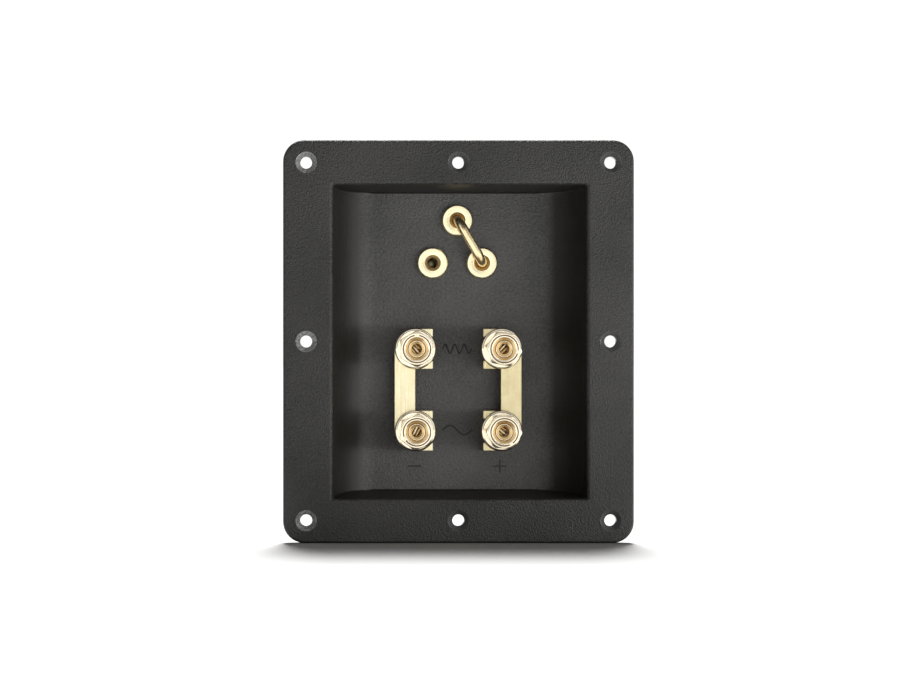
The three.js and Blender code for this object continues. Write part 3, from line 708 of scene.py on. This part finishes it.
def stud(name, loc, wire):
    front_levels, front_r = thread(3.32, 3.80, Y_NOSE + 3.3, Y_SHOULDER - 0.1)
    rear_levels, rear_r = thread(3.32, 3.80, Y_BACK + 0.1, STUD_END - 0.3)
    bottom = Y_NOSE + 13.2
    head = fillet([(0, bottom + 1.15, 0), (2.0, bottom, 0), (2.0, Y_NOSE + 0.66, 0.1), (2.84, Y_NOSE + 0.12, 0.08), (2.92, Y_NOSE, 0.04), (3.12, Y_NOSE, 0.08),
                   (3.25, Y_NOSE + 0.2, 0.1), (3.25, Y_NOSE + 2.9, 0)], steps=4)
    mid = fillet([(3.3, Y_SHOULDER, 0), (6.9, Y_SHOULDER, 0.25), (7.0, Y_SHOULDER + 0.3, 0.2), (7.0, Y_FLOOR - 0.2, 0.2), (6.8, Y_FLOOR - 0.02, 0),
                  (4.0, Y_FLOOR - 0.02, 0), (4.0, Y_BACK, 0)], steps=4)
    tail = fillet([(3.2, STUD_END - 0.28, 0), (2.9, STUD_END, 0.15), (1.0, STUD_END, 0), (0, STUD_END, 0)], steps=3)
    prof = head + front_levels + mid + rear_levels + tail
    n0, n1 = len(head), len(head) + len(front_levels)
    n2, n3 = n1 + len(mid), n1 + len(mid) + len(rear_levels)

    def radius(t, r, y, i):
        if n0 <= i < n1:
            return front_r(t, y), y
        if n2 <= i < n3:
            return rear_r(t, y), y
        return r, y

    o = turned(name, prof, [STUD_GOLD, KNOB_GOLD, BORE_GOLD_PAINTED_SHADE, RECESS_GOLD_PAINTED_SHADE], loc, segs=64, radius=radius, closed=False, weighted=False, sharp=38)
    c_v, c_f = turned_rings([(0, -6), (1.5, -6), (1.5, 6), (0, 6)], 32, closed=False)
    c = cutter("wire_hole", c_v, c_f)
    c.matrix_world = Matrix.Translation(Vector(loc) + Vector((0, 11.75 * MM, 0))) @ Matrix.Rotation(-math.radians(wire), 4, "Y") @ Matrix.Rotation(math.pi / 2, 4, "Z")
    bpy.context.view_layer.update()
    apply_boolean(o, [c])
    for p in o.data.polygons:
        p.use_smooth = True
        c = p.center
        away = math.hypot(c.x, c.z)
        # the cross-hole faces deep in the bore take the brighter knob gold: painted highlight
        if away < 1.93 * MM and 10.2 * MM < c.y < 13.4 * MM:
            p.material_index = 1
        # the nose face and its cone take the amber gold: painted shade
        elif away < 2.86 * MM and c.y < (Y_NOSE + 0.70) * MM:
            p.material_index = 3
        # the bore takes the darker gold: painted shade
        elif away < 2.80 * MM and c.y < 13.4 * MM:
            p.material_index = 2
        # the nose rim takes the brighter knob gold: painted highlight
        elif away < 3.2 * MM and c.y < (Y_NOSE + 0.05) * MM:
            p.material_index = 1
    o.data.set_sharp_from_angle(angle=math.radians(38))
    return o


def collar(name, loc):
    prof = fillet([(4.2, Y_COLLAR, 0.15), (7.0, Y_COLLAR, 0.5), (7.65, Y_COLLAR + 0.30, 0.5), (7.85, Y_COLLAR + 0.95, 0.3), (7.85, COLLAR_END - 0.5, 0.1),
                   (7.35, COLLAR_END, 0.12), (4.2, COLLAR_END, 0.15)], closed=True, steps=4)
    dense = []
    for a, b in zip(prof, prof[1:] + prof[:1]):
        dense.append(a)
        if abs(a[0] - b[0]) < 0.02 and a[0] > 7.5 and abs(a[1] - b[1]) > 1:
            dense += [(a[0], a[1] + (b[1] - a[1]) * f) for f in (0.04, 0.10, 0.5, 0.90, 0.96)]
    knurls = 72

    def radius(t, r, y, i):
        if r > 7.4:
            edge = min((y - Y_COLLAR - 0.9) / 0.35, (COLLAR_END - 0.45 - y) / 0.35, 1)
            f = abs(((t / (2 * math.pi) * knurls) % 1.0) * 2 - 1)
            r -= 0.15 * max(edge, 0) * f ** 1.3
        return r, y

    return turned(name, dense, [KNOB_GOLD], loc, segs=knurls * 6, radius=radius, sharp=28, weighted=False)


def knob(name, loc, corner_deg, mark_deg):
    vertex = math.radians(corner_deg)
    rf, flats, corner = 5.92, 12.15, 1.35
    slope = math.tan(math.radians(32))
    # front: bore edge, inner ring, groove, outer face, then chamfer and hexagon
    inner = fillet([(4.05, KNOB_END - 0.3, 0), (4.05, Y_KNOB + 4.2, 0), (3.42, Y_KNOB + 3.6, 0), (3.42, Y_KNOB + 1.25, 0.08), (4.14, Y_KNOB + 0.70, 0.08), (4.20, Y_KNOB + 0.25, 0.1),
                    (4.5, Y_KNOB + 0.08, 0.15), (4.92, Y_KNOB + 0.03, 0.04), (4.98, Y_KNOB + 0.50, 0.03), (5.29, Y_KNOB + 0.50, 0.03), (5.35, Y_KNOB, 0.04), (5.62, Y_KNOB, 0)], steps=3)
    thetas = hex_thetas(vertex)
    rows = []
    for t in thetas:
        R = hex_radius(t, flats, corner, vertex)
        c = min(0.14, 0.4 * (R - rf))
        yc = Y_KNOB + 0.02 + (R - rf) * slope
        gap = abs((math.degrees(t) - mark_deg + 180) % 360 - 180)
        shallow = min(max((gap - 9) / 5, 0), 1)
        col = [(r, Y_KNOB + (y - Y_KNOB) * (shallow if 4.945 < r < 5.33 else 1)) for r, y in inner]
        col += [(rf - 0.10, Y_KNOB), (rf - 0.04, Y_KNOB + 0.008), (rf, Y_KNOB + 0.03), (rf + 0.05, Y_KNOB + 0.03 + 0.05 * slope)]
        col += [(R - c, yc - c * slope), (R - 0.32 * c, yc - 0.05 * c), (R, yc + 0.6 * c)]
        cb = min(0.45, R - 5.6)
        col += [(R, yc + 1.5), (R, KNOB_END - 0.55), (R - 0.02, KNOB_END - 0.35), (R - 0.12, KNOB_END - 0.22), (min(R - 0.2, 6.6), KNOB_END - 0.04), (min(R - 0.3, 6.4), KNOB_END)]
        col += [(4.35, KNOB_END)]
        rows.append(col)
    n_prof = len(rows[0])
    verts, faces = [], []
    for t, col in zip(thetas, rows):
        for r, y in col:
            verts.append((r * MM * math.cos(t), y * MM, r * MM * math.sin(t)))
    m = len(thetas)
    for k in range(m):
        j = (k + 1) % m
        for i in range(n_prof):
            q = (i + 1) % n_prof
            faces.append([k * n_prof + i, k * n_prof + q, j * n_prof + q, j * n_prof + i])

    def finish_and_painted_shade(p):
        away = math.hypot(p.center.x, p.center.z) / MM
        # the groove's walls and bottom take the dark gold: painted shade
        if 4.93 < away < 5.34 and p.center.y > (Y_KNOB + 0.12) * MM and p.center.y < (Y_KNOB + 0.6) * MM:
            return 2
        # inside the recess: the amber gold, painted shade
        return int(away < 4.17)

    return make_object(name, verts, faces, [KNOB_GOLD, RECESS_GOLD_PAINTED_SHADE, GROOVE_GOLD_PAINTED_SHADE], loc, sharp=40, mat_index=finish_and_painted_shade)


def nut(name, loc, flats, y0, y1, corner_deg, material):
    vertex = math.radians(corner_deg)
    thetas = hex_thetas(vertex, 8, 8)
    rf = flats / 2 - 0.15
    slope = math.tan(math.radians(30))
    verts, faces, rows = [], [], []
    for t in thetas:
        R = hex_radius(t, flats, 0.35, vertex)
        d = (R - rf) * slope
        c = min(0.1, 0.3 * (R - rf))
        rows.append([(3.95, y0 + 0.35), (4.25, y0 + 0.04), (4.4, y0), (rf - 0.08, y0), (rf, y0 + 0.02), (R - c, y0 + d - c * slope), (R, y0 + d + c),
                     (R, y1 - d - c), (R - c, y1 - d + c * slope), (rf, y1 - 0.02), (rf - 0.08, y1), (4.4, y1), (4.25, y1 - 0.04), (3.95, y1 - 0.35)])
    n_prof = len(rows[0])
    for t, col in zip(thetas, rows):
        for r, y in col:
            verts.append((r * MM * math.cos(t), y * MM, r * MM * math.sin(t)))
    m = len(thetas)
    for k in range(m):
        j = (k + 1) % m
        for i in range(n_prof):
            q = (i + 1) % n_prof
            faces.append([k * n_prof + i, k * n_prof + q, j * n_prof + q, j * n_prof + i])
    return make_object(name, verts, faces, [material], loc, sharp=40)


def spring_washer(name, loc, y0, y1, gap_deg):
    """Split ring: a square section swept almost round, with its ends sprung apart."""
    n = 80
    a0, a1 = math.radians(gap_deg + 6), math.radians(gap_deg + 354)
    h = (y1 - y0) - 0.14
    verts, faces = [], []
    c = 0.12
    section = [(4.1 + c, 0), (6.2 - c, 0), (6.2, c), (6.2, h - c), (6.2 - c, h), (4.1 + c, h), (4.1, h - c), (4.1, c)]
    for k in range(n + 1):
        t = k / n
        a = a0 + (a1 - a0) * t
        lift = 0.14 * t
        for r, y in section:
            verts.append((r * MM * math.cos(a), (y0 + lift + y) * MM, r * MM * math.sin(a)))
    m = len(section)
    for k in range(n):
        for i in range(m):
            j = (i + 1) % m
            faces.append([k * m + i, k * m + j, (k + 1) * m + j, (k + 1) * m + i])
    faces.append(list(range(m)))
    faces.append([n * m + i for i in range(m)])
    return make_object(name, verts, faces, [STEEL], loc, sharp=38, weighted=False)


def lug(name, loc, y0, y1, length, deg):
    ro, w = 6.0, 2.5
    a = math.asin(w / ro)
    pts = [(length - w, -w)]
    for k in range(1, 16):
        t = math.radians(-90 + 180 * k / 16)
        pts.append((length - w + w * math.cos(t), w * math.sin(t)))
    pts.append((length - w, w))
    for k in range(4):                       # blend between tail and ring
        pts.append((ro * math.cos(a) + 1.6 * (1 - k / 3) ** 2, w + 0.35 * (k / 3) ** 2 * 0.2))
    for k in range(1, 60):
        t = a + 0.06 + (2 * math.pi - 2 * a - 0.12) * k / 60
        pts.append((ro * math.cos(t), ro * math.sin(t)))
    for k in range(3, -1, -1):
        pts.append((ro * math.cos(a) + 1.6 * (1 - k / 3) ** 2, -w - 0.35 * (k / 3) ** 2 * 0.2))
    bore = [(4.1 * math.cos(t), 4.1 * math.sin(t)) for t in [2 * math.pi * k / 48 for k in range(48)]]
    eye = [(length - w + 1.2 * math.cos(t), 1.2 * math.sin(t)) for t in [2 * math.pi * k / 28 for k in range(28)]]
    ca, sa = math.cos(math.radians(deg)), math.sin(math.radians(deg))
    rot = lambda ps: [(x * ca - z * sa, x * sa + z * ca) for x, z in ps]
    return prism(name, rot(pts), y0, y1, [TINNED], loc, holes=(rot(bore), rot(eye)), bevel=0.12, steps=2)


for tag in TAGS:
    x, z = POST[tag]
    loc = (x, 0, z)
    place(stud(f"post_stud_{tag}_fine", loc, WIRE[tag]), "plate", "deep_gold", f"post_stud_{tag}")
    place(collar(f"clamp_collar_{tag}_fine", loc), f"collar_{tag}", "bright_gold", f"clamp_collar_{tag}")
    place(knob(f"knob_{tag}_fine", loc, CORNER[tag], MARK_AT[tag]), f"knob_{tag}", "bright_gold", f"knob_{tag}")
    a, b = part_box(f"post_nut_{tag}")
    place(nut(f"post_nut_{tag}_fine", loc, 13.0, a.y / MM, b.y / MM, CORNER[tag] + 11, STUD_GOLD), "plate", "deep_gold", f"post_nut_{tag}")
    a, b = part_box(f"post_lock_washer_{tag}")
    place(spring_washer(f"post_lock_washer_{tag}_fine", loc, a.y / MM, b.y / MM, CORNER[tag] + 100), "plate", "spring_steel", f"post_lock_washer_{tag}")
    a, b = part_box(f"post_solder_lug_{tag}")
    place(lug(f"post_solder_lug_{tag}_fine", loc, a.y / MM, b.y / MM, 15.0, 90 if tag.startswith("hf") else -90), "plate", "tinned_brass", f"post_solder_lug_{tag}")

# ---------------------------------------------------------------- jumper bars


def bar_outline(side):
    edge, reach, half, slot, inner = 7.9, 6.85, 7.7, 4.6, 0.1
    zh, zl = POST["hf_minus"][1] / MM, POST["lf_minus"][1] / MM
    pts = []

    def arc(cx, cz, rx, rz, a0, a1, n):
        for k in range(n + 1):
            a = math.radians(a0 + (a1 - a0) * k / n)
            pts.append((cx + rx * math.cos(a), cz + rz * math.sin(a)))

    def corner(x, z, dx0, dz0, dx1, dz1, r=0.35):
        """small round corner: from direction 0 into direction 1"""
        for k in range(5):
            t = k / 4
            pts.append((x - dx0 * r * (1 - t) ** 2 + dx1 * r * t ** 2, z - dz0 * r * (1 - t) ** 2 + dz1 * r * t ** 2))

    arc(0, zl, edge, half, 180, 270, 20)
    corner(reach, zl - half, 1, 0, 0, 1)
    corner(reach, zl - slot, 0, 1, -1, 0)
    arc(0, zl, slot, slot, 270, 90, 28)
    corner(reach, zl + slot, 1, 0, 0, 1)
    corner(reach, zl + half, 0, 1, -1, 0)
    corner(inner, zl + half, -1, 0, 0, 1, 0.3)
    corner(inner, zh - half, 0, 1, 1, 0, 0.3)
    corner(reach, zh - half, 1, 0, 0, 1)
    corner(reach, zh - slot, 0, 1, -1, 0)
    arc(0, zh, slot, slot, 270, 90, 28)
    corner(reach, zh + slot, 1, 0, 0, 1)
    corner(reach, zh + half, 0, 1, -1, 0)
    arc(0, zh, edge, half, 90, 180, 20)
    return [(-side * x, z) for x, z in pts]


# the right bar's darker gold is painted shade
for side, name, body, tag, plating in ((-1, "jumper_bar_minus", "bar_minus", "hf_minus", BAR_GOLD), (1, "jumper_bar_plus", "bar_plus", "hf_plus", BAR_GOLD_ROUGHER_SHADED)):
    o = prism(name + "_fine", bar_outline(side), Y_BAR, BAR_END, [plating], (POST[tag][0], 0, 0), bevel=0.22, steps=3)
    place(o, body, "bar_gold", name)

# -------------------------------------------------------------- level sockets


def socket(name, loc):
    levels, rad = thread(3.32, 3.80, Y_BACK + 0.1, SOCKET_END - 0.3)
    bottom = Y_RIM + 18.4
    head = fillet([(0, bottom + 1.15, 0), (2.0, bottom, 0), (2.0, Y_RIM + 1.12, 0.08), (3.08, Y_RIM + 0.04, 0.08), (5.50, Y_RIM, 0.2), (5.94, Y_RIM + 0.36, 0.3), (6.05, Y_RIM + 0.95, 0.2),
                   (6.05, Y_FLOOR - 0.15, 0.1), (5.95, Y_FLOOR - 0.02, 0), (4.0, Y_FLOOR - 0.02, 0), (4.0, Y_BACK, 0)], steps=4)
    tail = fillet([(3.2, SOCKET_END - 0.28, 0), (2.9, SOCKET_END, 0.15), (1.0, SOCKET_END, 0), (0, SOCKET_END, 0)], steps=3)
    prof = head + levels + tail
    n0, n1 = len(head), len(head) + len(levels)

    def radius(t, r, y, i):
        return (rad(t, y), y) if n0 <= i < n1 else (r, y)

    def finish_and_painted_shade(p):
        away = math.hypot(p.center.x, p.center.z)
        # socket bore and countersink take darker golds: painted shade
        if away < 2.02 * MM and p.center.y < SOCKET_END * MM - 0.0005:
            return 2
        return int(away < 3.0 * MM and p.center.y < (Y_RIM + 1.2) * MM)

    return turned(name, prof, [SOCKET_GOLD, BORE_GOLD_PAINTED_SHADE, DEEP_BORE_PAINTED_SHADE], loc, segs=96, radius=radius, closed=False, sharp=30, weighted=False, mat_index=finish_and_painted_shade)


for tag, deg in (("top", 90), ("left", 180), ("right", 0)):
    x, z = SOCK[tag]
    loc = (x, 0, z)
    place(socket(f"socket_{tag}_fine", loc), "plate", "socket_gold", f"socket_{tag}")
    a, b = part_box(f"socket_nut_{tag}")
    place(nut(f"socket_nut_{tag}_fine", loc, 11.0, a.y / MM, b.y / MM, deg + 17, STUD_GOLD), "plate", "deep_gold", f"socket_nut_{tag}")
    a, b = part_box(f"socket_lock_washer_{tag}")
    place(spring_washer(f"socket_lock_washer_{tag}_fine", loc, a.y / MM, b.y / MM, deg + 140), "plate", "spring_steel", f"socket_lock_washer_{tag}")
    a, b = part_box(f"socket_solder_tag_{tag}")
    place(lug(f"socket_solder_tag_{tag}_fine", loc, a.y / MM, b.y / MM, 11.5, deg), "plate", "tinned_brass", f"socket_solder_tag_{tag}")

# ------------------------------------------------------------------ level link


def link():
    R, half, crest, pin = 5.0, 9.5, Y_RIM - 5.0, 15.0
    leg = pin
    stations = []      # (u, y, tangent angle, radius)
    tip = Y_RIM + pin
    leg_radii = [(0.0, 1.15), (0.25, 1.45), (0.7, 1.72), (1.2, 1.80), (11.6, 1.80), (11.9, 1.80), (12.1, 1.80)]
    for s, r in leg_radii:
        stations.append((-half, tip - s, 0.0, r))
    for k in range(15):
        a = math.radians(90 * k / 14)
        stations.append((-half + R * (1 - math.cos(a)), crest + R - R * math.sin(a), a, 1.8))
    full = stations + [(-u, y, math.pi - a, r) for u, y, a, r in reversed(stations)]
    x0, z0 = SOCK["top"]
    x1, z1 = SOCK["right"]
    cx, cz = (x0 + x1) / 2, (z0 + z1) / 2
    dx, dz = (x1 - x0), (z1 - z0)
    ln = math.hypot(dx, dz)
    dx, dz = dx / ln, dz / ln
    n = 48
    verts, faces = [], []
    for u, y, a, r in full:
        # tangent in the (u, y) plane: (sin a, -cos a); side vectors: in-plane normal and the out-of-plane axis
        nu, ny = math.cos(a), math.sin(a)
        for k in range(n):
            t = 2 * math.pi * k / n
            c, s = math.cos(t) * r, math.sin(t) * r
            pu, py, po = u + nu * c, y + ny * c, s
            verts.append((cx * 1.0 + (pu * dx - po * dz) * MM, py * MM, cz * 1.0 + (pu * dz + po * dx) * MM))
    m = len(full)
    for i in range(m - 1):
        for k in range(n):
            j = (k + 1) % n
            faces.append([i * n + k, i * n + j, (i + 1) * n + j, (i + 1) * n + k])
    faces.append(list(range(n)))
    faces.append([(m - 1) * n + k for k in range(n)])
    o = make_object("level_link_fine", verts, faces, [LINK_GOLD], (0, 0, 0), sharp=40, weighted=False)
    cuts = []
    for (x, z) in (SOCK["top"], SOCK["right"]):
        bm = bmesh.new()
        bmesh.ops.create_cube(bm, size=1.0, matrix=Matrix.Translation((x, (tip - 4.0) * MM, z)) @ Matrix.Rotation(math.radians(30), 4, "Y") @ Matrix.Diagonal((0.55 * MM, 10 * MM, 6 * MM, 1)))
        mesh = bpy.data.meshes.new("slit")
        bm.to_mesh(mesh)
        bm.free()
        c = bpy.data.objects.new("slit", mesh)
        scene.collection.objects.link(c)
        cuts.append(c)
    apply_boolean(o, cuts)
    for p in o.data.polygons:
        p.use_smooth = True
    o.data.set_sharp_from_angle(angle=math.radians(35))
    return o


place(link(), "link", "bright_gold", "level_link")

# ------------------------------------------------------- floor, light, camera


def floor():
    m, nt, b = node_material("studio_floor")
    tc = nt.nodes.new("ShaderNodeTexCoord")
    n = N(nt, "ShaderNodeTexNoise", Scale=3.0, Detail=2.0)
    nt.links.new(tc.outputs["Object"], n.inputs["Vector"])
    nt.links.new(ramp(nt, n.outputs["Fac"], [(0.3, (0.88, 0.88, 0.872)), (0.7, (0.90, 0.90, 0.892))]), b.inputs["Base Color"])
    b.inputs["Roughness"].default_value = 0.9
    b.inputs["Specular IOR Level"].default_value = 0.1
    z = PLATE_LO.z - 0.0001
    bm = bmesh.new()
    bmesh.ops.create_grid(bm, x_segments=24, y_segments=24, size=6.0, matrix=Matrix.Translation((0, 0, z)))
    mesh = bpy.data.meshes.new("studio_floor")
    bm.to_mesh(mesh)
    bm.free()
    mesh.materials.append(m)
    o = bpy.data.objects.new("studio_floor", mesh)
    scene.collection.objects.link(o)


floor()


# the lamps that model the object don't reach the floor, which the back light alone draws
LIT = bpy.data.collections.new("lit_object")
for o in scene.objects:
    if o.type == "MESH" and o.name != "studio_floor":
        LIT.objects.link(o)


METAL = bpy.data.collections.new("lit_metal")
PLATE = bpy.data.collections.new("lit_plate")
for o in LIT.objects:
    (PLATE if o == plate else METAL).objects.link(o)


def area(name, loc, target, w, h, radiance, receivers):
    d = bpy.data.lights.new(name, "AREA")
    d.shape = "RECTANGLE"
    d.size, d.size_y = w, h
    d.energy = radiance * math.pi * w * h
    o = bpy.data.objects.new(name, d)
    scene.collection.objects.link(o)
    o.location = loc
    o.rotation_euler = (Vector(target) - Vector(loc)).to_track_quat("-Z", "Y").to_euler()
    o.visible_camera = False
    o.light_linking.receiver_collection = receivers
    return o


area("plate_front", (0.74, -1.58, 0.10), (0.0, 0.0, 0.0), 1.25, 0.62, 1.18, PLATE)
area("plate_key", (0.70, -0.30, 0.055), (0.0, 0.0, 0.01), 0.26, 0.22, 5.6, PLATE)
area("plate_above", (0.45, -0.75, 0.80), (0.0, 0.0, 0.0), 1.10, 0.35, 1.15, PLATE)
area("plate_low", (0.36, -0.36, -0.046), (0.0, 0.0, -0.04), 0.60, 0.050, 11.5, PLATE)
area("metal_front", (-0.08, -1.75, 0.12), (0.0, 0.0, 0.0), 0.50, 0.62, 1.22, METAL)
area("metal_front_right", (0.80, -1.60, 0.12), (0.0, 0.0, 0.0), 1.00, 0.62, 1.10, METAL)
area("metal_left", (-0.80, -0.42, 0.34), (0.0, 0.0, 0.0), 0.62, 1.05, 0.72, METAL)
area("metal_above", (0.05, -0.36, 0.62), (0.0, 0.0, 0.0), 0.90, 0.30, 0.62, METAL)
area("metal_right", (0.80, -0.40, 0.34), (0.0, 0.0, 0.0), 0.62, 1.05, 0.82, METAL)

for i, lean in enumerate((-16.5, -22.0, -27.5, -33.5)):
    sun = bpy.data.lights.new(f"top_back_{i}", "SUN")
    sun.energy = 1.15
    sun.angle = math.radians(18)
    so = bpy.data.objects.new(f"top_back_{i}", sun)
    scene.collection.objects.link(so)
    so.rotation_euler = (math.radians(lean), math.radians(2.0), 0)

world = bpy.data.worlds.new("studio")
scene.world = world
world.use_nodes = True
wt = world.node_tree
for n in list(wt.nodes):
    wt.nodes.remove(n)
out = wt.nodes.new("ShaderNodeOutputWorld")
mix = wt.nodes.new("ShaderNodeMixShader")
ray = wt.nodes.new("ShaderNodeLightPath")
seen = wt.nodes.new("ShaderNodeBackground")
seen.inputs["Color"].default_value = (1, 1, 0.985, 1)
seen.inputs["Strength"].default_value = 1.05
dim = wt.nodes.new("ShaderNodeBackground")
dim.inputs["Color"].default_value = (1, 0.985, 0.96, 1)
dim.inputs["Strength"].default_value = 0.125
wt.links.new(ray.outputs["Is Camera Ray"], mix.inputs["Fac"])
wt.links.new(dim.outputs[0], mix.inputs[1])
wt.links.new(seen.outputs[0], mix.inputs[2])
wt.links.new(mix.outputs[0], out.inputs["Surface"])

scene.view_settings.view_transform = "Standard"
scene.view_settings.look = "None"
scene.view_settings.exposure = 0.0
scene.view_settings.gamma = 1.0

cam_data = bpy.data.cameras.new("camera")
cam_data.lens = 100.0
cam_data.sensor_width = 36.0
cam_data.shift_x = 0.16
cam_data.shift_y = 0.0039
cam_data.clip_start = 0.01
cam_data.clip_end = 50
cam = bpy.data.objects.new("camera", cam_data)
scene.collection.objects.link(cam)
cam.location = (-0.05738, Y_FRONT * MM - 0.940, 0.0002)
cam.rotation_euler = (math.radians(90), 0, 0)
scene.camera = cam
